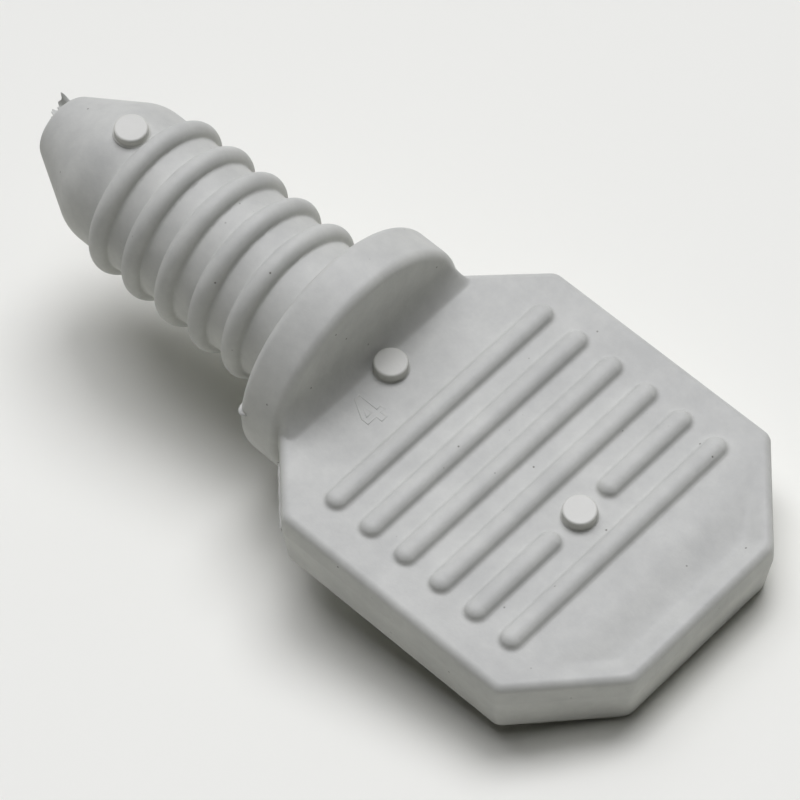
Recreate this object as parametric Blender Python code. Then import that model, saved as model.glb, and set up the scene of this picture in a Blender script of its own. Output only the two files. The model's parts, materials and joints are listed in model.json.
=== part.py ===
"""Push-in wall anchor with a flat finger grip, moulded in soft light-grey plastic.

The moulding is a tapered nose, a ringed stem, a round collar and a flat eight-sided grip
with finger ribs. It is modelled zone by zone, each zone a closed solid of its own.

Frame: the origin is the middle of the whole part, on the stem's axis and inside the
collar. +X is the way the stem is pushed into the wall and +Z is normal to the ribbed
face of the grip. The mould parted in the plane Z = 0. Lengths are in metres, and every
X below counts from the collar's seating face, which a parent empty sets in its place.
"""

import math

import bmesh
import bpy

MM = 0.001
SEAT_EMPTY = "collar seat"

# Clearance left between one zone and the zone it sits on
JOIN_GAP = 0.02 * MM

# Ringed stem, sized for an 8 mm drilled hole
CORE_RADIUS = 3.5 * MM
RING_CREST_RADIUS = 4.0 * MM
RING_WIDTH = 1.0 * MM
RING_PITCH = 2.02 * MM
RING_COUNT = 5
LAST_RING_X = 2.56 * MM
ROUND_SEGMENTS = 48
RING_ARC_STEPS = 6

# Tapered nose
NOSE_BASE_X = 11.4 * MM
SHOULDER_X = 12.9 * MM
SHOULDER_ROUNDING = 1.8 * MM
TIP_X = 16.45 * MM
TIP_RADIUS = 1.55 * MM
TIP_ROUNDING = 0.25 * MM
CORNER_STEPS = 4

# Torn stub of the moulding gate, on the tip
GATE_THICKNESS = 0.36 * MM
GATE_REACH = 1.1 * MM

# Its ragged outline: share of the reach, and sideways place
GATE_OUTLINE = [
    (0.0, 0.3 * MM),
    (0.6, 0.2 * MM),
    (0.82, 0.0 * MM),
    (0.7, -0.4 * MM),
    (0.8, -0.75 * MM),
    (1.0, -0.92 * MM),
    (0.9, -1.05 * MM),
    (0.0, -1.15 * MM),
]

# Collar
COLLAR_RADIUS = 5.85 * MM
COLLAR_THICKNESS = 2.3 * MM
COLLAR_EDGE_ROUNDING = 0.4 * MM

# Flat grip: its eight-sided outline on the parting plane, and how far each face is
# drafted in from it. The mould half below the parting plane is the deeper one.
GRIP_TOP_Z = 1.15 * MM
GRIP_BOTTOM_Z = -2.25 * MM
GRIP_TOP_DRAFT = 0.06 * MM
GRIP_BOTTOM_DRAFT = 0.25 * MM
GRIP_HALF_WIDTH = 8.67 * MM
GRIP_NECK_HALF_WIDTH = 5.67 * MM
GRIP_FRONT_CORNER_X = -5.32 * MM
GRIP_REAR_CORNER_X = -17.6 * MM
GRIP_END_X = -21.45 * MM
GRIP_END_HALF_WIDTH = 4.42 * MM
GRIP_EDGE_ROUNDING = 0.3 * MM
GRIP_EDGE_STEPS = 3

# Hollow root between the collar's back and each grip face: an arc of this radius starts
# at this height up the collar, and meets the face at a slight crease
ROOT_RADIUS = 2.0 * MM
ROOT_HEIGHT = 1.58 * MM
ROOT_HALF_LENGTH = 4.9 * MM
ROOT_STEPS = 5
ROOT_SINK = 0.01 * MM

# Thumb scoop across the rear end of each grip face
SCOOP_FRONT_X = -17.9 * MM
SCOOP_DEEPEST_X = -20.1 * MM
SCOOP_REAR_X = -20.65 * MM
SCOOP_DEPTH = 0.3 * MM
SCOOP_FRONT_HALF_WIDTH = 7.2 * MM
SCOOP_DEEPEST_HALF_WIDTH = 4.4 * MM
SCOOP_REAR_HALF_WIDTH = 3.7 * MM
SCOOP_SIDE_SLOPE = 1.6

# Finger ribs
RIB_COUNT = 6
RIB_FIRST_X = -6.45 * MM
RIB_PITCH = 1.985 * MM
RIB_WIDTH = 1.0 * MM
RIB_LENGTH = 13.8 * MM
RIB_HEIGHT = 0.36 * MM
RIB_EDGE_ROUNDING = 0.33 * MM
RIB_END_STEPS = 8
RIB_EDGE_STEPS = 3
BROKEN_RIB = 5
BROKEN_RIB_HALF_GAP = 1.37 * MM

# Round pads left by the mould's ejector pins
PAD_RADIUS = 0.76 * MM
PAD_HEIGHT = 0.48 * MM
PAD_EDGE_CHAMFER = 0.06 * MM
PAD_SEGMENTS = 32
COLLAR_PAD_X = -3.55 * MM
GRIP_PAD_X = -14.4 * MM
NOSE_PAD_X = 12.05 * MM
NOSE_PAD_Y = -0.1 * MM
NOSE_PAD_TOP_Z = 3.88 * MM
NOSE_PAD_BOTTOM_Z = 3.0 * MM

# Raised cavity number beside the collar: a figure 4 read with the nose upwards
DIGIT_HEIGHT = 0.05 * MM
DIGIT_STROKE = 0.18 * MM
DIGIT_TOP_X = -3.52 * MM
DIGIT_FOOT_X = -5.12 * MM
DIGIT_STEM_Y = 1.99 * MM
DIGIT_BAR_X = -4.72 * MM
DIGIT_BAR_LEFT_Y = 2.76 * MM
DIGIT_BAR_RIGHT_Y = 1.72 * MM

SHARP_ANGLE = math.radians(40)

# Where the collar's seating face stands, so that the part is centred on the origin
SEAT_X = -(TIP_X + GATE_REACH + GRIP_END_X) / 2


def clear_scene():
    for item in list(bpy.data.objects):
        bpy.data.objects.remove(item, do_unlink=True)


def add_seat_empty():
    """Empty at the centre of the seating face, the parent of every zone."""
    seat = bpy.data.objects.new(SEAT_EMPTY, None)
    seat.location = (SEAT_X, 0.0, 0.0)
    bpy.context.scene.collection.objects.link(seat)


def make_material(name, colour, roughness):
    material = bpy.data.materials.new(name)
    material.use_nodes = True
    shader = material.node_tree.nodes["Principled BSDF"]
    shader.inputs["Base Color"].default_value = (*colour, 1.0)
    shader.inputs["Roughness"].default_value = roughness
    shader.inputs["Metallic"].default_value = 0.0
    material.diffuse_color = (*colour, 1.0)
    return material


def add_object(name, bm, material):
    """Turn a bmesh into a smooth-shaded object with its faces pointing out."""
    bmesh.ops.recalc_face_normals(bm, faces=bm.faces)
    mesh = bpy.data.meshes.new(name)
    bm.to_mesh(mesh)
    bm.free()
    mesh.materials.append(material)
    mesh.shade_smooth()
    mesh.set_sharp_from_angle(angle=SHARP_ANGLE)
    item = bpy.data.objects.new(name, mesh)
    item.parent = bpy.data.objects[SEAT_EMPTY]
    bpy.context.scene.collection.objects.link(item)
    return item


def corner_arc(before, corner, after, radius, steps):
    """Points of an arc of the given radius that rounds a corner of an (x, r) profile."""
    back = (before[0] - corner[0], before[1] - corner[1])
    ahead = (after[0] - corner[0], after[1] - corner[1])
    back_length = math.hypot(*back)
    ahead_length = math.hypot(*ahead)
    back = (back[0] / back_length, back[1] / back_length)
    ahead = (ahead[0] / ahead_length, ahead[1] / ahead_length)
    opening = math.acos(back[0] * ahead[0] + back[1] * ahead[1])
    setback = radius / math.tan(opening / 2)
    middle = (back[0] + ahead[0], back[1] + ahead[1])
    middle_length = math.hypot(*middle)
    reach = radius / math.sin(opening / 2)
    centre = (
        corner[0] + middle[0] / middle_length * reach,
        corner[1] + middle[1] / middle_length * reach,
    )
    start = (corner[0] + back[0] * setback, corner[1] + back[1] * setback)
    end = (corner[0] + ahead[0] * setback, corner[1] + ahead[1] * setback)
    start_angle = math.atan2(start[1] - centre[1], start[0] - centre[0])
    end_angle = math.atan2(end[1] - centre[1], end[0] - centre[0])
    sweep = (end_angle - start_angle + math.pi) % (2 * math.pi) - math.pi
    points = []
    for step in range(steps + 1):
        angle = start_angle + sweep * step / steps
        point_x = centre[0] + radius * math.cos(angle)
        point_r = centre[1] + radius * math.sin(angle)
        points.append((point_x, point_r))
    return points


def spin_profile(profile, closed):
    """Spin an (x, r) profile round the X axis into a closed skin."""
    bm = bmesh.new()
    verts = [bm.verts.new((x, 0.0, r)) for x, r in profile]
    for first, second in zip(verts, verts[1:]):
        bm.edges.new((first, second))
    if closed:
        bm.edges.new((verts[-1], verts[0]))
    bmesh.ops.spin(
        bm,
        geom=list(bm.verts) + list(bm.edges),
        cent=(0.0, 0.0, 0.0),
        axis=(1.0, 0.0, 0.0),
        angle=2 * math.pi,
        steps=ROUND_SEGMENTS,
        use_merge=True,
        use_duplicate=False,
    )
    bmesh.ops.remove_doubles(bm, verts=bm.verts, dist=JOIN_GAP / 100)
    return bm


def extrude_outline(outline, bottom_z, top_z):
    """Raise a flat (x, y) outline into a prism, and return it with its top face."""
    bm = bmesh.new()
    face = bm.faces.new([bm.verts.new((x, y, bottom_z)) for x, y in outline])
    raised = bmesh.ops.extrude_face_region(bm, geom=[face])["geom"]
    top_verts = [part for part in raised if isinstance(part, bmesh.types.BMVert)]
    bmesh.ops.translate(bm, verts=top_verts, vec=(0.0, 0.0, top_z - bottom_z))
    top_face = next(part for part in raised if isinstance(part, bmesh.types.BMFace))
    return bm, top_face


def add_boolean(item, tool, operation):
    """Combine item with a tool object, which is hidden from the finished part."""
    modifier = item.modifiers.new(f"{operation.lower()} {tool.name}", "BOOLEAN")
    modifier.operation = operation
    modifier.solver = "EXACT"
    modifier.object = tool
    tool.hide_render = True
    tool.display_type = "WIRE"


def add_nose(material):
    """Tapered nose: a short land, a rounded shoulder, a cone and a blunt tip."""
    land = (NOSE_BASE_X, CORE_RADIUS)
    shoulder = (SHOULDER_X, CORE_RADIUS)
    rim = (TIP_X, TIP_RADIUS)
    tip = (TIP_X, 0.0)
    profile = [(NOSE_BASE_X, 0.0), land]
    profile += corner_arc(land, shoulder, rim, SHOULDER_ROUNDING, CORNER_STEPS)
    profile += corner_arc(shoulder, rim, tip, TIP_ROUNDING, CORNER_STEPS)
    profile += [tip]
    add_object("nose_cone", spin_profile(profile, closed=False), material)


def add_gate_vestige(material):
    """Torn stub of the gate: a thin ragged blade in the parting plane, on the tip."""
    root_x = TIP_X + JOIN_GAP
    blade_reach = GATE_REACH - JOIN_GAP
    outline = [(root_x + share * blade_reach, y) for share, y in GATE_OUTLINE]
    bm, _ = extrude_outline(outline, -GATE_THICKNESS / 2, GATE_THICKNESS / 2)
    add_object("gate_vestige", bm, material)


def add_stem_core(material):
    """Plain round core, from the back of the collar to the nose."""
    back_x = -COLLAR_THICKNESS
    front_x = NOSE_BASE_X - JOIN_GAP
    profile = [
        (back_x, 0.0),
        (back_x, CORE_RADIUS),
        (front_x, CORE_RADIUS),
        (front_x, 0.0),
    ]
    add_object("stem_core", spin_profile(profile, closed=False), material)


def add_ring(name, centre_x, material):
    """Half-round grip ring round the stem's core."""
    bore_radius = CORE_RADIUS + JOIN_GAP
    crest_height = RING_CREST_RADIUS - bore_radius
    profile = []
    for step in range(RING_ARC_STEPS + 1):
        angle = math.pi * step / RING_ARC_STEPS
        point_x = centre_x + RING_WIDTH / 2 * math.cos(angle)
        point_r = bore_radius + crest_height * math.sin(angle)
        profile.append((point_x, point_r))
    add_object(name, spin_profile(profile, closed=True), material)


def add_collar(material):
    """Round collar with rounded rims, bored for the stem's core."""
    bore_radius = CORE_RADIUS + JOIN_GAP
    seat_bore = (0.0, bore_radius)
    seat_rim = (0.0, COLLAR_RADIUS)
    back_rim = (-COLLAR_THICKNESS, COLLAR_RADIUS)
    back_bore = (-COLLAR_THICKNESS, bore_radius)
    profile = [seat_bore]
    profile += corner_arc(seat_bore, seat_rim, back_rim, COLLAR_EDGE_ROUNDING, CORNER_STEPS)
    profile += corner_arc(seat_rim, back_rim, back_bore, COLLAR_EDGE_ROUNDING, CORNER_STEPS)
    profile += [back_bore]
    add_object("collar", spin_profile(profile, closed=True), material)


def face_z(side):
    """Height of a grip face; side is 1 for the upper one and -1 for the lower one."""
    return GRIP_TOP_Z if side > 0 else GRIP_BOTTOM_Z


def grip_outline(inset):
    """The grip's eight-sided outline, moved inwards by inset on its seven free sides."""
    neck_x = -COLLAR_THICKNESS - JOIN_GAP
    front_slope = math.atan2(
        GRIP_HALF_WIDTH - GRIP_NECK_HALF_WIDTH, neck_x - GRIP_FRONT_CORNER_X
    )
    rear_slope = math.atan2(
        GRIP_HALF_WIDTH - GRIP_END_HALF_WIDTH, GRIP_REAR_CORNER_X - GRIP_END_X
    )
    neck_y = GRIP_NECK_HALF_WIDTH - inset / math.cos(front_slope)
    front_x = GRIP_FRONT_CORNER_X - inset * math.tan(front_slope / 2)
    rear_x = GRIP_REAR_CORNER_X + inset * math.tan(rear_slope / 2)
    end_y = GRIP_END_HALF_WIDTH - inset * math.tan((math.pi / 2 - rear_slope) / 2)
    side_y = GRIP_HALF_WIDTH - inset
    left_side = [
        (neck_x, neck_y),
        (front_x, side_y),
        (rear_x, side_y),
        (GRIP_END_X + inset, end_y),
    ]
    right_side = [(x, -y) for x, y in reversed(left_side)]
    return left_side + right_side


def add_grip_slab(material):
    """Flat slab, widest at the parting plane and drafted towards both faces."""
    levels = [
        (GRIP_BOTTOM_Z, GRIP_BOTTOM_DRAFT),
        (0.0, 0.0),
        (GRIP_TOP_Z, GRIP_TOP_DRAFT),
    ]
    bm = bmesh.new()
    loops = []
    for z, inset in levels:
        loops.append([bm.verts.new((x, y, z)) for x, y in grip_outline(inset)])
    bm.faces.new(loops[0])
    bm.faces.new(loops[-1])
    for lower, upper in zip(loops, loops[1:]):
        for index, vert in enumerate(lower):
            following = (index + 1) % len(lower)
            bm.faces.new((vert, lower[following], upper[following], upper[index]))
    free_edges = []
    for edge in bm.edges:
        on_collar = all(vert.co.x > -COLLAR_THICKNESS - 2 * JOIN_GAP for vert in edge.verts)
        on_parting_line = all(abs(vert.co.z) < JOIN_GAP for vert in edge.verts)
        if not on_collar and not on_parting_line:
            free_edges.append(edge)
    bmesh.ops.bevel(
        bm,
        geom=free_edges,
        offset=GRIP_EDGE_ROUNDING,
        offset_type="OFFSET",
        segments=GRIP_EDGE_STEPS,
        profile=0.5,
        affect="EDGES",
        clamp_overlap=True,
    )
    return add_object("grip_paddle", bm, material)


def add_root(material):
    """Hollow-curved root that carries both grip faces into the back of the collar."""
    root_x = -COLLAR_THICKNESS - JOIN_GAP
    curves = {}
    for side in (1, -1):
        foot_z = face_z(side) - side * ROOT_SINK
        curves[side] = []
        for step in range(ROOT_STEPS + 1):
            rise = ROOT_HEIGHT * step / ROOT_STEPS
            below_start = ROOT_HEIGHT - rise
            reach = ROOT_RADIUS - math.sqrt(ROOT_RADIUS**2 - below_start**2)
            curves[side].append((root_x - reach, foot_z + side * rise))
    profile = curves[1] + curves[-1][::-1]
    bm = bmesh.new()
    near_verts = [bm.verts.new((x, -ROOT_HALF_LENGTH, z)) for x, z in profile]
    raised = bmesh.ops.extrude_face_region(bm, geom=[bm.faces.new(near_verts)])["geom"]
    far_verts = [part for part in raised if isinstance(part, bmesh.types.BMVert)]
    bmesh.ops.translate(bm, verts=far_verts, vec=(0.0, 2 * ROOT_HALF_LENGTH, 0.0))
    return add_object("root tool", bm, material)


def pad_outline(centre, radius):
    """Round outline of a pad, centred at (x, y)."""
    outline = []
    for step in range(PAD_SEGMENTS):
        angle = 2 * math.pi * step / PAD_SEGMENTS
        point_x = centre[0] + radius * math.cos(angle)
        point_y = centre[1] + radius * math.sin(angle)
        outline.append((point_x, point_y))
    return outline


def add_pad_clearance(material):
    """Room in the root for the pad that stands partly on it."""
    outline = pad_outline((COLLAR_PAD_X, 0.0), PAD_RADIUS + JOIN_GAP)
    floor_z = GRIP_TOP_Z + JOIN_GAP / 2
    bm, _ = extrude_outline(outline, floor_z, GRIP_TOP_Z + ROOT_HEIGHT)
    return add_object("pad clearance tool", bm, material)


def add_scoop_tool(side, material):
    """Wedge that hollows the rear end of one face; side is 1 above and -1 below."""
    rim_z = face_z(side)
    floor_z = rim_z - side * SCOOP_DEPTH
    lid_z = rim_z + side * SCOOP_DEPTH
    spread = SCOOP_DEPTH * SCOOP_SIDE_SLOPE
    stations = [
        (SCOOP_FRONT_X, rim_z, SCOOP_FRONT_HALF_WIDTH),
        (SCOOP_DEEPEST_X, floor_z, SCOOP_DEEPEST_HALF_WIDTH - spread),
        (SCOOP_REAR_X, rim_z, SCOOP_REAR_HALF_WIDTH),
    ]
    bm = bmesh.new()
    rows = []
    for x, low_z, low_half_width in stations:
        lid_half_width = low_half_width + spread * abs(lid_z - low_z) / SCOOP_DEPTH
        row = [
            bm.verts.new((x, -low_half_width, low_z)),
            bm.verts.new((x, low_half_width, low_z)),
            bm.verts.new((x, lid_half_width, lid_z)),
            bm.verts.new((x, -lid_half_width, lid_z)),
        ]
        rows.append(row)
    bm.faces.new(rows[0])
    bm.faces.new(rows[-1])
    for near, far in zip(rows, rows[1:]):
        for index, vert in enumerate(near):
            following = (index + 1) % len(near)
            bm.faces.new((vert, near[following], far[following], far[index]))
    bmesh.ops.triangulate(bm, faces=bm.faces)
    return add_object(f"scoop tool {side}", bm, material)


def add_grip(material):
    """Eight-sided finger grip, run into the collar and scooped at its end."""
    grip = add_grip_slab(material)
    add_boolean(grip, add_root(material), "UNION")
    add_boolean(grip, add_pad_clearance(material), "DIFFERENCE")
    for side in (1, -1):
        add_boolean(grip, add_scoop_tool(side, material), "DIFFERENCE")


def stadium_outline(centre_x, start_y, end_y, half_width):
    """Outline of a bar along Y with round ends."""
    outline = []
    for centre_y, first_angle in ((end_y - half_width, 0.0), (start_y + half_width, math.pi)):
        for step in range(RIB_END_STEPS + 1):
            angle = first_angle + math.pi * step / RIB_END_STEPS
            point_x = centre_x + half_width * math.cos(angle)
            point_y = centre_y + half_width * math.sin(angle)
            outline.append((point_x, point_y))
    return outline


def add_rib(name, centre_x, start_y, end_y, side, material):
    """Round-topped finger rib on one grip face; side is 1 above and -1 below."""
    outline = stadium_outline(centre_x, start_y, end_y, RIB_WIDTH / 2)
    base_z = face_z(side) + side * JOIN_GAP
    top_z = base_z + side * RIB_HEIGHT
    bm, top_face = extrude_outline(outline, base_z, top_z)
    bmesh.ops.bevel(
        bm,
        geom=list(top_face.edges),
        offset=RIB_EDGE_ROUNDING,
        offset_type="OFFSET",
        segments=RIB_EDGE_STEPS,
        profile=0.5,
        affect="EDGES",
        clamp_overlap=True,
    )
    add_object(name, bm, material)


def rib_x(number):
    return RIB_FIRST_X - (number - 1) * RIB_PITCH


def add_ribs(material):
    """Six ribs on each face. The ejector pad breaks one upper rib in two."""
    half_length = RIB_LENGTH / 2
    for number in range(1, RIB_COUNT + 1):
        centre_x = rib_x(number)
        if number == BROKEN_RIB:
            gap = BROKEN_RIB_HALF_GAP
            add_rib(f"grip_rib_{number}_left", centre_x, gap, half_length, 1, material)
            add_rib(f"grip_rib_{number}_right", centre_x, -half_length, -gap, 1, material)
        else:
            add_rib(f"grip_rib_{number}", centre_x, -half_length, half_length, 1, material)
        add_rib(f"under_rib_{number}", centre_x, -half_length, half_length, -1, material)


def add_pad(name, centre, bottom_z, top_z, material):
    """Low round pad with a fine chamfer round its top, centred at (x, y)."""
    outline = pad_outline(centre, PAD_RADIUS)
    bm, top_face = extrude_outline(outline, bottom_z, top_z)
    bmesh.ops.bevel(
        bm,
        geom=list(top_face.edges),
        offset=PAD_EDGE_CHAMFER,
        offset_type="OFFSET",
        segments=1,
        affect="EDGES",
    )
    return add_object(name, bm, material)


def add_pads(material):
    """Two pads on the grip and one on the nose, where it sits down on the round land."""
    base_z = GRIP_TOP_Z + JOIN_GAP
    top_z = GRIP_TOP_Z + PAD_HEIGHT
    add_pad("ejector_pad_collar", (COLLAR_PAD_X, 0.0), base_z, top_z, material)
    add_pad("ejector_pad_grip", (GRIP_PAD_X, 0.0), base_z, top_z, material)
    nose_place = (NOSE_PAD_X, NOSE_PAD_Y)
    nose_pad = add_pad(
        "ejector_pad_nose", nose_place, NOSE_PAD_BOTTOM_Z, NOSE_PAD_TOP_Z, material
    )
    seat_radius = CORE_RADIUS + JOIN_GAP
    seat_start = NOSE_PAD_X - 2 * PAD_RADIUS
    seat_end = NOSE_PAD_X + 2 * PAD_RADIUS
    profile = [
        (seat_start, 0.0),
        (seat_start, seat_radius),
        (seat_end, seat_radius),
        (seat_end, 0.0),
    ]
    seat_tool = add_object("nose pad seat tool", spin_profile(profile, closed=False), material)
    add_boolean(nose_pad, seat_tool, "DIFFERENCE")


def add_stroke(name, start, end, material):
    """One raised stroke of the figure, from start to end in (x, y)."""
    run_x = end[0] - start[0]
    run_y = end[1] - start[1]
    length = math.hypot(run_x, run_y)
    side_x = -run_y / length * DIGIT_STROKE / 2
    side_y = run_x / length * DIGIT_STROKE / 2
    outline = [
        (start[0] + side_x, start[1] + side_y),
        (end[0] + side_x, end[1] + side_y),
        (end[0] - side_x, end[1] - side_y),
        (start[0] - side_x, start[1] - side_y),
    ]
    base_z = GRIP_TOP_Z + JOIN_GAP
    bm, _ = extrude_outline(outline, base_z, base_z + DIGIT_HEIGHT)
    return add_object(name, bm, material)


def add_cavity_number(material):
    """Raised figure 4: an upright, a bar across it and a slanting stroke."""
    upright_top = (DIGIT_TOP_X, DIGIT_STEM_Y)
    upright_foot = (DIGIT_FOOT_X, DIGIT_STEM_Y)
    bar_left = (DIGIT_BAR_X, DIGIT_BAR_LEFT_Y)
    bar_right = (DIGIT_BAR_X, DIGIT_BAR_RIGHT_Y)
    slant_top = (DIGIT_TOP_X - DIGIT_STROKE / 2, DIGIT_STEM_Y)
    slant_foot = (DIGIT_BAR_X + DIGIT_STROKE / 4, DIGIT_BAR_LEFT_Y - DIGIT_STROKE / 2)
    figure = add_stroke("cavity_number", upright_top, upright_foot, material)
    bar = add_stroke("figure bar tool", bar_left, bar_right, material)
    slant = add_stroke("figure slant tool", slant_top, slant_foot, material)
    add_boolean(figure, bar, "UNION")
    add_boolean(figure, slant, "UNION")


def build():
    clear_scene()
    add_seat_empty()
    body = make_material("soft grey plastic", (0.56, 0.57, 0.56), 0.55)
    polished = make_material("pin-polished plastic", (0.64, 0.64, 0.6), 0.4)
    add_nose(body)
    add_gate_vestige(body)
    add_stem_core(body)
    for index in range(RING_COUNT):
        ring_x = LAST_RING_X + (RING_COUNT - 1 - index) * RING_PITCH
        add_ring(f"stem_ring_{index + 1}", ring_x, body)
    add_collar(body)
    add_grip(body)
    add_ribs(body)
    add_pads(polished)
    add_cavity_number(body)


build()
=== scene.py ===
"""Looks of the push-in wall anchor.

The real anchor is one soft moulding, so its skin is worked out as one smooth
shape: cone, stem, rings, collar, grip and ribs run into each other with small
fillets. The skin is then cut into the zones of the CAD model. Neighbouring
zones share their border points and their shading, so no seam shows.

Lengths are in millimetres in the CAD frame until a mesh is made.
"""

import json
import math

import bmesh
import bpy
import numpy as np
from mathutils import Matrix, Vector


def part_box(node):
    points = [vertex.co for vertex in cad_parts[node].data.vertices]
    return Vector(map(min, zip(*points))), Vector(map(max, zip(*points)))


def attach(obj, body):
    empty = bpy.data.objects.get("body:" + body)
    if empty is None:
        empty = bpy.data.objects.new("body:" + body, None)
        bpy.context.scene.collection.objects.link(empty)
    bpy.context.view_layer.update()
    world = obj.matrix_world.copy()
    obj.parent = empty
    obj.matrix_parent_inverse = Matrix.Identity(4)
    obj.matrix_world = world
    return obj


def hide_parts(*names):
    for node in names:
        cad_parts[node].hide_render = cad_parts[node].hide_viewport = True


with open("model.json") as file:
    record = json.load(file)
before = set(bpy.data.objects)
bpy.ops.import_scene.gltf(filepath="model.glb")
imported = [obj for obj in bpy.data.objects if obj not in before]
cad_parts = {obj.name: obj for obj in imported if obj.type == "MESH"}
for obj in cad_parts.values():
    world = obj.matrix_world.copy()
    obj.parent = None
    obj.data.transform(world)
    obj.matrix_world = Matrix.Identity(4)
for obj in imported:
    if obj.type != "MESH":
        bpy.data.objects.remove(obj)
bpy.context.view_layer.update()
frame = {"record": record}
MM = 0.001


def node_box(node):
    """Lowest and highest corner of a CAD node in millimetres."""
    low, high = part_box(node)
    return np.array(low) / MM, np.array(high) / MM


def node_centre(node):
    low, high = node_box(node)
    return (low + high) / 2


# ---- sizes read from the CAD model -------------------------------------------------------------

SEAT_X = frame["record"]["mounts"][0]["pos_m"][0] / MM
CORE_RADIUS = node_box("stem_core")[1][1]
TIP_X = node_box("nose_cone")[1][0]
RING_NODES = [f"stem_ring_{number}" for number in range(1, 6)]
RING_X = [node_centre(node)[0] for node in RING_NODES]
RING_CREST_RADIUS = node_box("stem_ring_1")[1][1]
COLLAR_LOW, COLLAR_HIGH = node_box("collar")
COLLAR_RADIUS = COLLAR_HIGH[1]
GRIP_LOW, GRIP_HIGH = node_box("grip_paddle")
GRIP_END_X = GRIP_LOW[0]
GRIP_HALF_WIDTH = GRIP_HIGH[1]

# the ribs stand this far clear of the grip's faces in the CAD model
JOIN_GAP = 0.02
GRIP_TOP_Z = node_box("grip_rib_1")[0][2] - JOIN_GAP
GRIP_BOTTOM_Z = node_box("under_rib_1")[1][2] + JOIN_GAP
UPPER_RIBS = ["grip_rib_1", "grip_rib_2", "grip_rib_3", "grip_rib_4"]
UPPER_RIBS += ["grip_rib_5_left", "grip_rib_5_right", "grip_rib_6"]
LOWER_RIBS = [f"under_rib_{number}" for number in range(1, 7)]

# ---- sizes of the soft details -----------------------------------------------------------------

# nose and stem; a blend is the width over which two faces run into each other
SHOULDER_X = SEAT_X + 12.9
TIP_RADIUS = 1.55
SHOULDER_BLEND = 0.3
TIP_BLEND = 0.25
STEM_IN_COLLAR = 1.0

RING_HALF_WIDTH = 0.5
RING_FILLET = 0.1

# collar, with the hollow root that carries its back into the grip's faces
COLLAR_ROUNDING = 0.45
SEAT_FILLET = 0.3
ROOT_RADIUS = 2.0
ROOT_HEIGHT = 1.58
ROOT_END = 0.45
CREVICE_FILLET = 0.1

# eight-sided grip
GRIP_IN_COLLAR = 1.2
FRONT_CHAMFER = 3.02
REAR_CHAMFER_LENGTH = 3.85
END_HALF_WIDTH = 4.42
CORNER_BLEND = 0.2
TOP_DRAFT = 0.06
BOTTOM_DRAFT = 0.25
TOP_ROUNDING = 0.36
BOTTOM_ROUNDING = 0.15

# shallow scoop across the grip's far end: where it starts and where it is deepest count
# from that end, and the flat rim left round it and its slope count from the outline
SCOOP_DEPTH = 0.3
SCOOP_FRONT = 3.3
SCOOP_DEEPEST = 1.2
SCOOP_RIM = 0.35
SCOOP_RISE = 1.0

RIB_HALF_WIDTH = 0.5
RIB_FILLET = 0.16

# ejector-pin pads: rounded rim, small fillet at the foot, slightly dished top
PAD_RIM = 0.1
PAD_FOOT = 0.07
PAD_DISH = 0.008
PAD_STEPS = 4
PAD_SEGMENTS = 64

# flash: a fin beside the neck, and a nub at the collar's rim a little above the parting line
FLASH_STEP = 0.12
FLASH_WIDTH = 0.08
FLASH_LEAST = 0.01
FLASH_NUB = 0.15
NUB_BEHIND_SEAT = 0.25
NUB_SPREAD = 0.22
NUB_LIFT = 0.75
FLASH_HALF_THICKNESS = 0.06
FLASH_SINK = 0.08

# torn gate stub: its usual reach, and how far its pulled corner reaches and rises
GATE_ROOT_DEPTH = 0.15
GATE_REACH = 0.92
GATE_SPIKE_REACH = 0.36
GATE_SPIKE_RISE = 0.6
GATE_STATIONS = 40
GATE_ARC = 14

# figure 4: half width and height of the ridge that outlines it
FIGURE_HALF_WIDTH = 0.06
FIGURE_HEIGHT = 0.02
FIGURE_SINK = 0.03

# mesh of the skin, and where it is cut into zones
GRID_STEP = 0.125
GRID_MARGIN = 0.53
SLOPE_STEP = 0.004
LEAST_SLOPE_SQUARED = 0.1
RELAX_SHARE = 0.6
BORDER_FROM_RING = 0.74
NOSE_BORDER_X = RING_X[0] + BORDER_FROM_RING
SEAT_BORDER_X = SEAT_X + 0.45
ROOT_BORDER_X = COLLAR_LOW[0] - 0.9
RIB_BORDER = 0.2
BORDER_DEPTH = 0.2
CORE_BORDER_DEPTH = 0.22


# ---- fields: negative inside the plastic, about one millimetre per unit ---------------------------


def smooth_max(a, b, width):
    overlap = np.clip(width - np.abs(a - b), 0, None) / width
    return np.maximum(a, b) + overlap * overlap * width / 4


def smooth_min(a, b, width):
    return -smooth_max(-a, -b, width)


def rounded_max(a, b, radius):
    """Two faces that meet in an edge of the given radius."""
    outside = np.hypot(np.maximum(a + radius, 0), np.maximum(b + radius, 0))
    return outside + np.minimum(np.maximum(a, b), -radius)


def smooth_step(value):
    value = np.clip(value, 0, 1)
    return value * value * (3 - 2 * value)


def stem_field(x, radius):
    """Nose cone, plain core and the five rings."""
    cone_run = TIP_X - SHOULDER_X
    cone_drop = CORE_RADIUS - TIP_RADIUS
    cone_side = math.hypot(cone_run, cone_drop)
    cone = ((x - SHOULDER_X) * cone_drop + (radius - CORE_RADIUS) * cone_run) / cone_side
    field = smooth_max(radius - CORE_RADIUS, cone, SHOULDER_BLEND)
    field = smooth_max(field, x - TIP_X, TIP_BLEND)
    field = np.maximum(field, SEAT_X - STEM_IN_COLLAR - x)
    for ring_x in RING_X:
        across = (x - ring_x) / RING_HALF_WIDTH
        outward = (radius - CORE_RADIUS) / (RING_CREST_RADIUS - CORE_RADIUS)
        ring = (np.sqrt(across**2 + outward**2) - 1) * RING_HALF_WIDTH
        field = smooth_min(field, ring, RING_FILLET)
    return field


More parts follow.
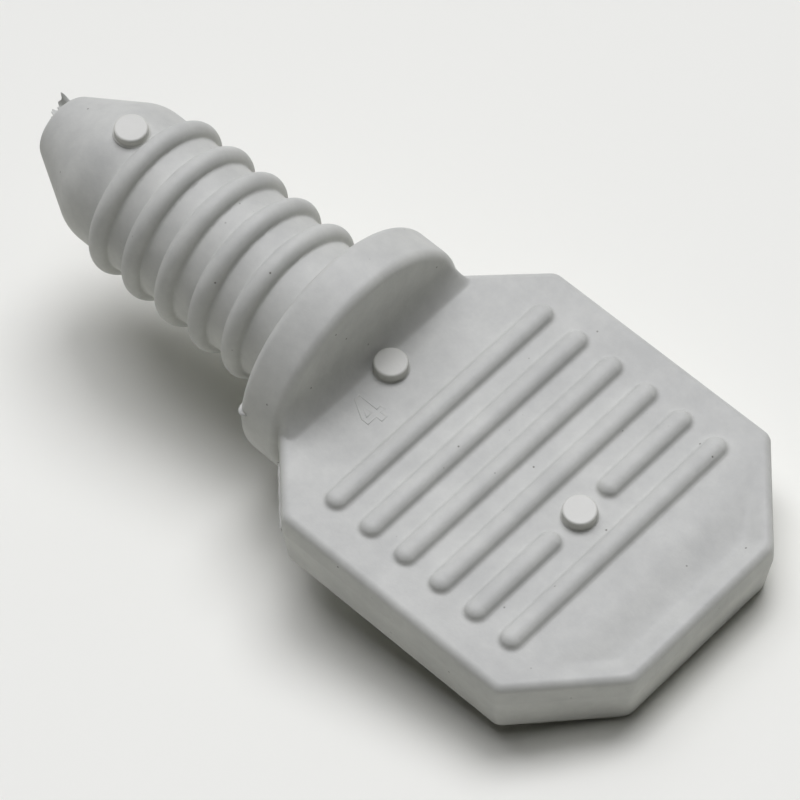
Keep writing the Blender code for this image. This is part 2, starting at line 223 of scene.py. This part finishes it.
def grip_outline(x, y):
    """Distance from the eight-sided outline on the parting line."""
    width = np.abs(y) - GRIP_HALF_WIDTH
    front_x = COLLAR_LOW[0] - FRONT_CHAMFER
    front = (x - front_x + width) * math.sqrt(0.5)
    rear_x = GRIP_END_X + REAR_CHAMFER_LENGTH
    rear_drop = GRIP_HALF_WIDTH - END_HALF_WIDTH
    rear_side = math.hypot(REAR_CHAMFER_LENGTH, rear_drop)
    rear = ((rear_x - x) * rear_drop + width * REAR_CHAMFER_LENGTH) / rear_side
    wall = smooth_max(width, front, CORNER_BLEND)
    wall = smooth_max(wall, rear, CORNER_BLEND)
    return smooth_max(wall, GRIP_END_X - x, CORNER_BLEND)


def collar_field(x, y, z):
    """The round collar; its back runs out to the grip's faces in a hollow curve."""
    radius = np.hypot(y, z)
    above_face = np.maximum(z - GRIP_TOP_Z, GRIP_BOTTOM_Z - z)
    below_start = ROOT_HEIGHT - np.clip(above_face, 0, ROOT_HEIGHT)
    reach = ROOT_RADIUS - np.sqrt(ROOT_RADIUS**2 - below_start**2)
    reach = reach * smooth_step(-grip_outline(x, y) / ROOT_END)
    faces = np.maximum(x - COLLAR_HIGH[0], COLLAR_LOW[0] - reach - x)
    return rounded_max(faces, radius - COLLAR_RADIUS, COLLAR_ROUNDING)


def grip_field(x, y, z):
    """The flat grip: drafted walls, rounded edges, a shallow scoop by the far end."""
    outline = grip_outline(x, y)
    scoop = smooth_step((GRIP_END_X + SCOOP_FRONT - x) / (SCOOP_FRONT - SCOOP_DEEPEST))
    scoop = scoop * smooth_step((-outline - SCOOP_RIM) / SCOOP_RISE) * SCOOP_DEPTH
    faces = np.maximum(z - GRIP_TOP_Z, GRIP_BOTTOM_Z - z) + scoop
    draft = np.maximum(z / GRIP_TOP_Z * TOP_DRAFT, z / GRIP_BOTTOM_Z * BOTTOM_DRAFT)
    walls = np.maximum(outline + draft, x - COLLAR_LOW[0] - GRIP_IN_COLLAR)
    rounding = np.where(z > 0, TOP_ROUNDING, BOTTOM_ROUNDING)
    return rounded_max(faces, walls, rounding)


def rib_size(node):
    """Centre, half length to the round ends' centres, foot, and height (minus if it hangs)."""
    low, high = node_box(node)
    half_length = (high[1] - low[1]) / 2 - RIB_HALF_WIDTH
    foot = GRIP_TOP_Z if high[2] > 0 else GRIP_BOTTOM_Z
    height = (high[2] if high[2] > 0 else low[2]) - foot
    return (low + high) / 2, half_length, foot, height


def rib_plan(x, y, centre, half_length):
    """Distance from a rib's centre line, seen from above."""
    along = np.maximum(np.abs(y - centre[1]) - half_length, 0)
    return np.hypot(x - centre[0], along)


def rib_field(x, y, z, node):
    """A rib with a half-elliptic section and round ends."""
    centre, half_length, foot, height = rib_size(node)
    plan = rib_plan(x, y, centre, half_length)
    outward = (z - foot) / height * RIB_HALF_WIDTH
    return (np.hypot(plan, outward) - RIB_HALF_WIDTH) * abs(height) / RIB_HALF_WIDTH


def skin_field(x, y, z):
    """The whole moulding."""
    radius = np.hypot(y, z)
    grip = grip_field(x, y, z)
    for node in UPPER_RIBS + LOWER_RIBS:
        grip = smooth_min(grip, rib_field(x, y, z, node), RIB_FILLET)
    field = smooth_min(collar_field(x, y, z), grip, CREVICE_FILLET)
    return smooth_min(field, stem_field(x, radius), SEAT_FILLET)


def gradient(points):
    """Slope of the skin field at each point."""
    slopes = []
    for axis in range(3):
        ahead = points.copy()
        behind = points.copy()
        ahead[:, axis] += SLOPE_STEP
        behind[:, axis] -= SLOPE_STEP
        slopes.append((skin_field(*ahead.T) - skin_field(*behind.T)) / (2 * SLOPE_STEP))
    return np.stack(slopes, axis=1)


def unit(vectors):
    """The same directions, each of length one."""
    return vectors / np.linalg.norm(vectors, axis=1, keepdims=True)


# ---- from field to mesh ---------------------------------------------------------------------------


def surface_net(low, high, step):
    """Points and four-sided faces of the field's zero surface."""
    axes = [np.arange(low[axis], high[axis] + step, step) for axis in range(3)]
    values = skin_field(*np.meshgrid(*axes, indexing="ij"))
    inside = values < 0
    corners = [(i, j, k) for i in (0, 1) for j in (0, 1) for k in (0, 1)]
    sizes = np.array(values.shape) - 1
    count = np.zeros(sizes, dtype=int)
    for i, j, k in corners:
        count += inside[i : sizes[0] + i, j : sizes[1] + j, k : sizes[2] + k]
    cells = np.argwhere((count > 0) & (count < 8))
    number = np.full(sizes, -1)
    number[tuple(cells.T)] = np.arange(len(cells))

    total = np.zeros((len(cells), 3))
    hits = np.zeros(len(cells))
    for start in corners:
        for axis in range(3):
            if start[axis] == 1:
                continue
            end = list(start)
            end[axis] = 1
            value_start = values[tuple((cells + start).T)]
            value_end = values[tuple((cells + end).T)]
            crossed = (value_start < 0) != (value_end < 0)
            span = np.where(crossed, value_start - value_end, 1)
            point = (cells + start).astype(float)
            point[:, axis] += value_start / span
            total += point * crossed[:, None]
            hits += crossed
    points = np.array(low) + total / hits[:, None] * step

    faces = []
    for axis in range(3):
        side_a = (axis + 1) % 3
        side_b = (axis + 2) % 3
        ahead = np.roll(inside, -1, axis)
        edges = np.argwhere(inside != ahead)
        ring = []
        for shift_a, shift_b in ((-1, -1), (0, -1), (0, 0), (-1, 0)):
            cell = edges.copy()
            cell[:, side_a] += shift_a
            cell[:, side_b] += shift_b
            ring.append(number[tuple(cell.T)])
        quads = np.stack(ring, axis=1)
        leaving = inside[tuple(edges.T)]
        quads[~leaving] = quads[~leaving][:, ::-1]
        faces.append(quads)
    return points, np.concatenate(faces)


def pull_to_skin(points, rounds):
    """Moves points along the field's slope until they lie on the skin."""
    for _ in range(rounds):
        slope = gradient(points)
        steepness = np.maximum((slope**2).sum(axis=1), LEAST_SLOPE_SQUARED)
        move = skin_field(*points.T) / steepness
        points = points - slope * np.clip(move, -GRID_STEP, GRID_STEP)[:, None]
    return points


def relax(points, faces, rounds):
    """Evens the faces out by sliding the points along the skin."""
    starts = faces.ravel()
    ends = np.roll(faces, -1, axis=1).ravel()
    share = np.bincount(starts, minlength=len(points))
    for _ in range(rounds):
        middle = np.stack(
            [np.bincount(starts, points[ends, axis], len(points)) for axis in range(3)],
            axis=1,
        )
        move = middle / share[:, None] - points
        normal = unit(gradient(points))
        move -= normal * (move * normal).sum(axis=1, keepdims=True)
        points = pull_to_skin(points + move * RELAX_SHARE, 1)
    return points


def face_zones(points, faces):
    """The CAD node that each face of the skin stands for."""
    x, y, z = points[faces].mean(axis=1).T
    zones = np.full(len(faces), "grip_paddle", dtype=object)
    for node in UPPER_RIBS + LOWER_RIBS:
        centre, half_length, foot, _ = rib_size(node)
        near = rib_plan(x, y, centre, half_length) < RIB_HALF_WIDTH + RIB_BORDER
        same_side = z / foot > 0.5
        zones[near & same_side] = node
    zones[x > ROOT_BORDER_X] = "collar"
    zones[x > SEAT_BORDER_X] = "stem_core"
    for node, ring_x in zip(RING_NODES, RING_X):
        zones[np.abs(x - ring_x) < BORDER_FROM_RING] = node
    zones[x > NOSE_BORDER_X] = "nose_cone"
    return zones


def open_loops(faces):
    """Closed chains of the points along the open borders of some faces."""
    starts = faces.ravel()
    ends = np.roll(faces, -1, axis=1).ravel()
    forward = set(zip(starts.tolist(), ends.tolist()))
    onward = {}
    for start, end in sorted(forward):
        if (end, start) not in forward:
            onward.setdefault(start, []).append(end)
    loops = []
    while onward:
        first = min(onward)
        loop = [first]
        here = first
        while True:
            following = onward[here].pop()
            if not onward[here]:
                del onward[here]
            if following == first:
                break
            loop.append(following)
            here = following
        loops.append(loop)
    return loops


# ---- pieces ---------------------------------------------------------------------------------------


def add_piece(name, points, faces, material, normals=None):
    """Makes a mesh object from millimetre points and lets it ride on the part."""
    mesh = bpy.data.meshes.new(name)
    place = [tuple(float(value) * MM for value in point) for point in points]
    mesh.from_pydata(place, [], [[int(index) for index in face] for face in faces])
    mesh.materials.append(material)
    mesh.polygons.foreach_set("use_smooth", [True] * len(mesh.polygons))
    if normals is not None:
        mesh.normals_split_custom_set_from_vertices([tuple(n) for n in normals])
    piece = bpy.data.objects.new(name, mesh)
    bpy.context.scene.collection.objects.link(piece)
    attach(piece, "root")
    return piece


def stitch(loop_a, loop_b, points):
    """Triangles between two rings of points round the stem's axis."""

    def angle(index):
        return math.atan2(points[index][2], points[index][1])

    def from_lowest(loop):
        """The loop again, starting at its lowest angle and running upwards."""
        start = min(range(len(loop)), key=lambda place: angle(loop[place]))
        loop = loop[start:] + loop[:start]
        quarter = loop[len(loop) // 4]
        return loop if angle(quarter) < 0 else loop[:1] + loop[:0:-1]

    loop_a = from_lowest(loop_a)
    loop_b = from_lowest(loop_b)
    faces = []
    a = 0
    b = 0
    while a < len(loop_a) or b < len(loop_b):
        here_a = loop_a[a % len(loop_a)]
        here_b = loop_b[b % len(loop_b)]
        if (a + 1) * len(loop_b) <= (b + 1) * len(loop_a):
            a += 1
            faces.append([here_a, here_b, loop_a[a % len(loop_a)]])
        else:
            b += 1
            faces.append([here_a, here_b, loop_b[b % len(loop_b)]])
    return faces


def close_zone(node, points, faces, normals):
    """Closes a zone behind its visible face. Returns all its points and faces."""
    loops = open_loops(faces)
    loops.sort(key=lambda loop: points[loop, 0].mean())
    points = [tuple(point) for point in points]
    faces = [list(face) for face in faces]
    depth = CORE_BORDER_DEPTH if node in ("stem_core", "grip_paddle") else BORDER_DEPTH
    inner = []
    for loop in loops:
        first = len(points)
        points += [tuple(np.array(points[i]) - normals[i] * depth) for i in loop]
        inner.append(list(range(first, len(points))))
        for step in range(len(loop)):
            following = (step + 1) % len(loop)
            quad = [loop[following], loop[step], first + step, first + following]
            faces.append(quad)

    # the rings are bored to pass over the core, and the core runs on under them
    if node in RING_NODES:
        faces += stitch(inner[0], inner[1], points)
    elif node == "stem_core":
        faces += [inner[0][::-1], inner[-1][::-1]]
        for near, far in zip(inner[1:-1:2], inner[2:-1:2]):
            faces += stitch(far, near, points)
    else:
        faces += [loop[::-1] for loop in inner]
    return points, faces


def turn_faces_outward(piece):
    shape = bmesh.new()
    shape.from_mesh(piece.data)
    bmesh.ops.recalc_face_normals(shape, faces=shape.faces)
    shape.to_mesh(piece.data)
    shape.free()


def build_skin(material):
    """The moulding's skin, cut into its zones."""
    reach = np.array([0, GRIP_HALF_WIDTH, COLLAR_RADIUS]) + GRID_MARGIN
    low = np.array([GRIP_END_X, 0, 0]) - reach
    high = np.array([TIP_X, 0, 0]) + reach
    points, faces = surface_net(low, high, GRID_STEP)
    points = pull_to_skin(points, 3)
    points = relax(points, faces, 3)
    points = pull_to_skin(points, 2)
    normals = unit(gradient(points))
    zones = face_zones(points, faces)
    for node in sorted(set(zones)):
        zone_faces = faces[zones == node]
        used, local = np.unique(zone_faces, return_inverse=True)
        zone_faces = local.reshape(zone_faces.shape)
        zone_points, closed = close_zone(node, points[used], zone_faces, normals[used])
        hidden = len(zone_points) - len(used)
        zone_normals = np.concatenate([normals[used], np.tile([1.0, 0, 0], (hidden, 1))])
        piece = add_piece(node + "_skin", zone_points, closed, material, zone_normals)
        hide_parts(node)
    return points, faces


def profile_turned(profile, centre, segments):
    """Points and faces of a closed shape turned about a vertical line; the profile ends on it."""
    points = []
    faces = []
    for radius, height in profile[1:-1]:
        for step in range(segments):
            angle = math.tau * step / segments
            x = centre[0] + radius * math.cos(angle)
            y = centre[1] + radius * math.sin(angle)
            points.append((x, y, centre[2] + height))
    rows = len(profile) - 2
    for row in range(rows - 1):
        for step in range(segments):
            following = (step + 1) % segments
            low = row * segments
            high = low + segments
            faces.append([low + step, low + following, high + following, high + step])
    bottom = len(points)
    points.append((centre[0], centre[1], centre[2] + profile[0][1]))
    points.append((centre[0], centre[1], centre[2] + profile[-1][1]))
    last = (rows - 1) * segments
    for step in range(segments):
        following = (step + 1) % segments
        faces.append([bottom, following, step])
        faces.append([bottom + 1, last + step, last + following])
    return points, faces


def build_pad(node, foot_z, material):
    """An ejector-pin pad: flat top, small rounded rim, tiny fillet where it leaves the skin."""
    low, high = node_box(node)
    radius = (high[0] - low[0]) / 2
    top = high[2]
    widest = radius + PAD_FOOT
    profile = [(0, low[2]), (widest, low[2]), (widest, foot_z)]
    for step in range(1, PAD_STEPS + 1):
        angle = math.pi / 2 * step / PAD_STEPS
        reach = radius + PAD_FOOT * (1 - math.sin(angle))
        profile.append((reach, foot_z + PAD_FOOT * (1 - math.cos(angle))))
    for step in range(PAD_STEPS + 1):
        angle = math.pi / 2 * step / PAD_STEPS
        reach = radius - PAD_RIM * (1 - math.cos(angle))
        profile.append((reach, top - PAD_RIM + PAD_RIM * math.sin(angle)))
    profile.append((radius * 0.8, top - PAD_DISH / 2))
    profile.append((radius * 0.4, top - PAD_DISH))
    profile.append((0, top - PAD_DISH))
    middle = ((low[0] + high[0]) / 2, (low[1] + high[1]) / 2, 0)
    points, faces = profile_turned(profile, middle, PAD_SEGMENTS)
    piece = add_piece(node + "_disc", points, faces, material)
    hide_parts(node)


def parting_loop(points, faces):
    """The skin's outline on the parting plane, as one closed chain of even steps."""
    shape = bmesh.new()
    corners = [shape.verts.new(point) for point in points]
    for face in faces:
        shape.faces.new([corners[index] for index in face])
    parts = shape.verts[:] + shape.edges[:] + shape.faces[:]
    bmesh.ops.bisect_plane(
        shape,
        geom=parts,
        plane_co=(0, 0, 0),
        plane_no=(0, 0, 1),
        clear_inner=True,
        clear_outer=True,
    )
    shape.verts.ensure_lookup_table()
    here = min(shape.verts, key=lambda vert: (vert.co.x, vert.co.y))
    first = here
    came = None
    chain = []
    while True:
        chain.append((here.co.x, here.co.y))
        onward = [edge.other_vert(here) for edge in here.link_edges]
        onward = sorted((vert for vert in onward if vert is not came), key=lambda v: v.index)
        came = here
        here = onward[0]
        if here is first:
            break
    shape.free()
    chain = np.array(chain + chain[:1])
    lengths = np.hypot(*np.diff(chain, axis=0).T)
    travelled = np.concatenate([[0], np.cumsum(lengths)])
    even = np.linspace(0, travelled[-1], int(travelled[-1] / FLASH_STEP), endpoint=False)
    return np.stack([np.interp(even, travelled, chain[:, axis]) for axis in (0, 1)], axis=1)


def flash_width(x, y, travelled):
    """How far the flash stands out; it shows beside one neck and at the collar's rim."""
    neck_start = COLLAR_LOW[0] - 0.5
    neck_end = COLLAR_LOW[0] - FRONT_CHAMFER
    along = (neck_start - x) / (neck_start - neck_end)
    fading = np.clip(np.minimum(along, 1 - along) * 12, 0, 1)
    uneven = 1 + 0.2 * np.sin(travelled * 7.0)
    neck = fading * (y > 0) * FLASH_WIDTH * uneven
    from_nub = (x - SEAT_X + NUB_BEHIND_SEAT) / NUB_SPREAD
    on_rim = y > COLLAR_RADIUS - 0.8
    return neck + np.exp(-(from_nub**2)) * on_rim * FLASH_NUB


def flash_strip(rows, width, outward, lift):
    """One closed strip of flash that thins out to its ends."""
    # across the strip: share of its width, or depth sunk in the skin, and share of its height
    section = [(-FLASH_SINK, 1.0), (0.85, 0.6), (1.0, 0.0), (0.85, -0.6), (-FLASH_SINK, -1.0)]
    count = len(section)
    points = []
    for row, reach, direction in zip(rows, width, outward):
        half_thickness = min(FLASH_HALF_THICKNESS, reach)
        for share, height in section:
            offset = share * reach if share > 0 else share
            point = row + direction * offset
            points.append((point[0], point[1], lift + height * half_thickness))
    faces = [list(range(count)), list(range(len(points) - count, len(points)))[::-1]]
    for step in range(len(rows) - 1):
        here = step * count
        for side in range(count):
            beside = (side + 1) % count
            faces.append([here + side, here + beside, here + count + beside, here + count + side])
    return points, faces


def build_flash(points, faces, material):
    """The thin fin of plastic that escaped between the mould halves, where it shows."""
    loop = parting_loop(points, faces)
    flat = np.concatenate([loop, np.full((len(loop), 1), 0.002)], axis=1)
    outward = gradient(flat)
    outward[:, 2] = 0
    outward = unit(outward)
    width = flash_width(loop[:, 0], loop[:, 1], np.arange(len(loop)) * FLASH_STEP)
    shown = np.flatnonzero(width > FLASH_LEAST)
    strips = np.split(shown, np.flatnonzero(np.diff(shown) > 1) + 1)
    for number, strip in enumerate(strips, start=1):
        on_collar = flat[strip, 0].mean() > COLLAR_LOW[0]
        lift = NUB_LIFT if on_collar else 0.0
        made, around = flash_strip(flat[strip], width[strip], outward[strip], lift)
        piece = add_piece(f"parting_flash_{number}", made, around, material)
        turn_faces_outward(piece)


def build_gate(material):
    """The torn stub where the plastic entered the mould, with one corner pulled up."""
    low, high = node_box("gate_vestige")
    stations = GATE_STATIONS
    arc = GATE_ARC
    root = TIP_X - GATE_ROOT_DEPTH
    points = []
    for station in range(stations):
        share = station / (stations - 1)
        y = low[1] + (high[1] - low[1]) * share
        body = math.sin(math.pi * min(max(share, 0.02), 0.98)) ** 0.4
        torn = 1 + 0.12 * math.sin(share * 21 + 1) + 0.08 * math.sin(share * 47)
        spike = math.exp(-(((share - 0.16) / 0.1) ** 2))
        reach = GATE_REACH * body * torn + GATE_SPIKE_REACH * spike
        thickness = high[2] * body * (0.8 + 0.2 * math.sin(share * 17))
        for step in range(arc):
            angle = math.pi * step / (arc - 1)
            outward = math.sin(angle) ** 0.8
            x = root + (reach + TIP_X - root) * outward
            z = thickness * math.cos(angle) * (1 - 0.45 * outward)
            z += (0.05 * math.sin(share * 9) + GATE_SPIKE_RISE * spike) * outward**2
            points.append((x, y, z))
    faces = [list(range(arc)), list(range((stations - 1) * arc, stations * arc))[::-1]]
    for station in range(stations - 1):
        here = station * arc
        for step in range(arc):
            beside = (step + 1) % arc
            faces.append([here + step, here + arc + step, here + arc + beside, here + beside])
    piece = add_piece("gate_vestige_torn", points, faces, material)
    turn_faces_outward(piece)
    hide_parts("gate_vestige")


def ridge_round(outline, foot_z):
    """A closed low ridge that follows an outline on the grip's face."""
    count = len(outline)
    points = []
    for step in range(count):
        here = Vector(outline[step])
        before = (here - Vector(outline[step - 1])).normalized()
        after = (Vector(outline[(step + 1) % count]) - here).normalized()
        mitre = Vector((-(before + after).y, (before + after).x)).normalized()
        stretch = 1 / max(mitre.dot(Vector((-before.y, before.x))), 0.5)
        side = mitre * FIGURE_HALF_WIDTH * stretch
        crest = side * 0.4
        foot = foot_z - FIGURE_SINK
        points.append((here.x - side.x, here.y - side.y, foot))
        points.append((here.x - crest.x, here.y - crest.y, foot_z + FIGURE_HEIGHT))
        points.append((here.x + crest.x, here.y + crest.y, foot_z + FIGURE_HEIGHT))
        points.append((here.x + side.x, here.y + side.y, foot))
    faces = []
    for step in range(count):
        here = step * 4
        there = (step + 1) % count * 4
        for row in range(4):
            beside = (row + 1) % 4
            faces.append([here + row, there + row, there + beside, here + beside])
    return points, faces


def build_figure(material):
    """The mould's cavity number: a figure 4 drawn as a faint raised outline."""
    low, high = node_box("cavity_number")
    tall = high[0] - low[0]
    wide = high[1] - low[1]

    # corners of the 4, as shares of its width from its left and of its height from its foot
    outer = [(0.5, 0), (0.78, 0), (0.78, 0.2), (1, 0.2), (1, 0.36), (0.78, 0.36), (0.78, 1)]
    outer += [(0.5, 1), (0, 0.42), (0, 0.2), (0.5, 0.2)]
    hole = [(0.5, 0.38), (0.22, 0.38), (0.5, 0.74)]
    points = []
    faces = []
    for outline in (outer, hole):
        placed = [(low[0] + v * tall, high[1] - u * wide) for u, v in outline]
        some, round_faces = ridge_round(placed, GRIP_TOP_Z)
        faces += [[index + len(points) for index in face] for face in round_faces]
        points += some
    piece = add_piece("cavity_number_outline", points, faces, material)
    turn_faces_outward(piece)
    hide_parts("cavity_number")


# ---- materials ------------------------------------------------------------------------------------


def new_material(name):
    """A new material with its nodes, its links and its main shader."""
    material = bpy.data.materials.new(name)
    material.use_nodes = True
    nodes = material.node_tree.nodes
    return material, nodes, material.node_tree.links, nodes["Principled BSDF"]


def add_node(nodes, kind, **inputs):
    """A shader node with its named inputs set."""
    node = nodes.new(kind)
    for name, value in inputs.items():
        node.inputs[name.replace("_", " ")].default_value = value
    return node


def moulded_plastic(name, base, warm, roughness, speckled):
    """Soft satin plastic: cloudy tint, fine grain, a few dark specks of dirt."""
    material, nodes, links, shader = new_material(name)
    place = nodes.new("ShaderNodeTexCoord")

    clouds = add_node(nodes, "ShaderNodeTexNoise", Scale=420.0, Detail=6.0, Roughness=0.7)
    links.new(place.outputs["Object"], clouds.inputs["Vector"])
    tint = nodes.new("ShaderNodeValToRGB")
    tint.color_ramp.elements[0].position = 0.35
    tint.color_ramp.elements[1].position = 0.68
    tint.color_ramp.elements[0].color = (*base, 1)
    tint.color_ramp.elements[1].color = (*warm, 1)
    links.new(clouds.outputs["Fac"], tint.inputs["Fac"])
    colour = tint.outputs["Color"]

    if speckled:
        # specks: small round spots in some of the texture's cells
        spots = add_node(nodes, "ShaderNodeTexVoronoi", Scale=1100.0)
        links.new(place.outputs["Object"], spots.inputs["Vector"])
        small = nodes.new("ShaderNodeMapRange")
        small.inputs["From Min"].default_value = 0.02
        small.inputs["From Max"].default_value = 0.07
        small.inputs["To Min"].default_value = 1.0
        small.inputs["To Max"].default_value = 0.0
        links.new(spots.outputs["Distance"], small.inputs["Value"])
        split = nodes.new("ShaderNodeSeparateColor")
        links.new(spots.outputs["Color"], split.inputs["Color"])
        chosen = nodes.new("ShaderNodeMapRange")
        chosen.inputs["From Min"].default_value = 0.3
        chosen.inputs["From Max"].default_value = 0.6
        links.new(split.outputs["Red"], chosen.inputs["Value"])
        strength = nodes.new("ShaderNodeMath")
        strength.operation = "MULTIPLY"
        links.new(small.outputs["Result"], strength.inputs[0])
        links.new(chosen.outputs["Result"], strength.inputs[1])
        dirt = nodes.new("ShaderNodeMix")
        dirt.data_type = "RGBA"
        dirt.inputs["B"].default_value = (0.13, 0.12, 0.1, 1)
        links.new(strength.outputs["Value"], dirt.inputs["Factor"])
        links.new(colour, dirt.inputs["A"])
        colour = dirt.outputs["Result"]
    links.new(colour, shader.inputs["Base Color"])

    grain = add_node(nodes, "ShaderNodeTexNoise", Scale=5200.0, Detail=2.0, Roughness=0.6)
    links.new(place.outputs["Object"], grain.inputs["Vector"])
    ripple = add_node(nodes, "ShaderNodeTexNoise", Scale=700.0, Detail=2.0, Roughness=0.5)
    links.new(place.outputs["Object"], ripple.inputs["Vector"])
    fine = add_node(nodes, "ShaderNodeBump", Strength=0.2, Distance=0.00003)
    links.new(grain.outputs["Fac"], fine.inputs["Height"])
    wavy = add_node(nodes, "ShaderNodeBump", Strength=0.4, Distance=0.00004)
    links.new(ripple.outputs["Fac"], wavy.inputs["Height"])
    links.new(fine.outputs["Normal"], wavy.inputs["Normal"])
    links.new(wavy.outputs["Normal"], shader.inputs["Normal"])

    sheen = nodes.new("ShaderNodeMapRange")
    sheen.inputs["To Min"].default_value = roughness - 0.06
    sheen.inputs["To Max"].default_value = roughness + 0.08
    links.new(ripple.outputs["Fac"], sheen.inputs["Value"])
    links.new(sheen.outputs["Result"], shader.inputs["Roughness"])
    shader.inputs["IOR"].default_value = 1.46
    shader.inputs["Specular IOR Level"].default_value = 0.4
    return material


def floor_material():
    """Plain pale floor, lit from above only, and clear when seen from below."""
    material, nodes, links, shader = new_material("pale floor")
    shader.inputs["Base Color"].default_value = (0.89, 0.89, 0.825, 1)
    shader.inputs["Roughness"].default_value = 0.9
    shader.inputs["Specular IOR Level"].default_value = 0.1
    clear = nodes.new("ShaderNodeBsdfTransparent")
    facing = nodes.new("ShaderNodeNewGeometry")
    mixed = nodes.new("ShaderNodeMixShader")
    links.new(facing.outputs["Backfacing"], mixed.inputs["Fac"])
    links.new(shader.outputs["BSDF"], mixed.inputs[1])
    links.new(clear.outputs["BSDF"], mixed.inputs[2])
    links.new(mixed.outputs["Shader"], nodes["Material Output"].inputs["Surface"])
    return material


# ---- stage ----------------------------------------------------------------------------------------


# the search for how the part lies: the stretches of it that may touch the floor
GRIP_END_REGION = 5
COLLAR_REGION = 4
STEEPEST_TILT = math.radians(40)
TILT_HALVINGS = 40
FLOOR_HALF_SIZE = 1.5


def rest_tilt(points):
    """Tilt of the plane the part lies on: it touches the collar's rim and the grip's end."""
    behind = points[points[:, 0] < GRIP_END_X + GRIP_END_REGION]
    collar = points[np.abs(points[:, 0] - SEAT_X) < COLLAR_REGION]
    low = 0.0
    high = STEEPEST_TILT
    for _ in range(TILT_HALVINGS):
        tilt = (low + high) / 2
        up = np.array([math.sin(tilt), 0, math.cos(tilt)])
        if (behind @ up).min() > (collar @ up).min():
            low = tilt
        else:
            high = tilt
    return tilt, (points @ up).min()


def build_floor(points):
    """A plain floor in metres under the part. Returns its upward direction."""
    tilt, height = rest_tilt(points)
    up = Vector((math.sin(tilt), 0, math.cos(tilt)))
    half = FLOOR_HALF_SIZE
    mesh = bpy.data.meshes.new("floor")
    corners = [(-half, -half, 0), (half, -half, 0), (half, half, 0), (-half, half, 0)]
    mesh.from_pydata(corners, [], [(0, 1, 2, 3)])
    mesh.materials.append(floor_material())
    floor = bpy.data.objects.new("floor", mesh)
    floor.location = up * height * MM
    floor.rotation_mode = "QUATERNION"
    floor.rotation_quaternion = up.to_track_quat("Z", "Y")
    bpy.context.scene.collection.objects.link(floor)
    return up


# camera: angles, and millimetres to the right of, above and away from the collar's seat
CAMERA_AZIMUTH = math.radians(223.08)
CAMERA_ELEVATION = math.radians(57.09)
CAMERA_DISTANCE = 211.4
CAMERA_SHIFT_RIGHT = 2.979
CAMERA_SHIFT_UP = -2.798
CAMERA_LENS = 219.8

# soft lights: degrees above the floor, degrees clockwise from straight behind, power
LIGHTS = [
    (65, 30, 1.5),
    (65, -30, 0.65),
    (90, 0, 0.6),
    (40, 0, 0.19),
    (40, -45, 0.18),
    (65, 90, 0.1),
]
LIGHT_COLOUR = (0.985, 0.985, 1.045)
LIGHT_SPREAD = math.radians(30)
SURROUND = 0.02


def camera_axes():
    """Directions to the right of, above and behind the camera's view."""
    a = CAMERA_AZIMUTH
    e = CAMERA_ELEVATION
    right = Vector((math.cos(a), math.sin(a), 0))
    up = Vector((-math.sin(e) * math.sin(a), math.sin(e) * math.cos(a), math.cos(e)))
    back = Vector((math.sin(a) * math.cos(e), -math.cos(a) * math.cos(e), math.sin(e)))
    return right, up, back


def add_camera():
    """The camera looks straight along its view direction, past the collar's seat."""
    right, up, back = camera_axes()
    data = bpy.data.cameras.new("camera")
    data.lens = CAMERA_LENS
    data.clip_start = 0.01
    data.clip_end = 10
    camera = bpy.data.objects.new("camera", data)
    place = right * CAMERA_SHIFT_RIGHT + up * CAMERA_SHIFT_UP + back * CAMERA_DISTANCE
    camera.location = (place + Vector((SEAT_X, 0, 0))) * MM
    camera.rotation_mode = "QUATERNION"
    camera.rotation_quaternion = back.to_track_quat("Z", "Y")
    bpy.context.scene.collection.objects.link(camera)
    bpy.context.scene.camera = camera


def add_light(name, direction, power):
    """A broad soft light from far away in a direction."""
    data = bpy.data.lights.new(name, "SUN")
    data.angle = LIGHT_SPREAD
    data.energy = power
    data.color = LIGHT_COLOUR
    lamp = bpy.data.objects.new(name, data)
    lamp.rotation_mode = "QUATERNION"
    lamp.rotation_quaternion = direction.to_track_quat("Z", "Y")
    bpy.context.scene.collection.objects.link(lamp)


def light_stage(floor_up):
    """A few broad soft lights overhead and behind the part, and a faint even surround."""
    right, up, back = camera_axes()
    behind = (up - floor_up * up.dot(floor_up)).normalized()
    beside = behind.cross(floor_up).normalized()
    for number, (height, turn, power) in enumerate(LIGHTS, start=1):
        height = math.radians(height)
        turn = math.radians(turn)
        level = behind * math.cos(turn) + beside * math.sin(turn)
        direction = floor_up * math.sin(height) + level * math.cos(height)
        add_light(f"soft light {number}", direction, power)
    world = bpy.data.worlds.new("surround")
    world.use_nodes = True
    shade = world.node_tree.nodes["Background"]
    shade.inputs["Color"].default_value = (1.0, 1.0, 0.9, 1)
    shade.inputs["Strength"].default_value = SURROUND
    bpy.context.scene.world = world
    bpy.context.scene.view_settings.view_transform = "Standard"


# ---- the scene ------------------------------------------------------------------------------------

body_plastic = moulded_plastic(
    "moulded grey plastic", (0.51, 0.515, 0.485), (0.6, 0.605, 0.565), 0.55, True
)
pad_plastic = moulded_plastic(
    "pin-polished plastic", (0.64, 0.64, 0.59), (0.67, 0.67, 0.62), 0.42, False
)

skin_points, skin_faces = build_skin(body_plastic)
build_pad("ejector_pad_collar", GRIP_TOP_Z, pad_plastic)
build_pad("ejector_pad_grip", GRIP_TOP_Z, pad_plastic)
build_pad("ejector_pad_nose", CORE_RADIUS, pad_plastic)

build_flash(skin_points, skin_faces, body_plastic)
build_gate(body_plastic)
build_figure(body_plastic)

floor_direction = build_floor(skin_points)
add_camera()
light_stage(floor_direction)
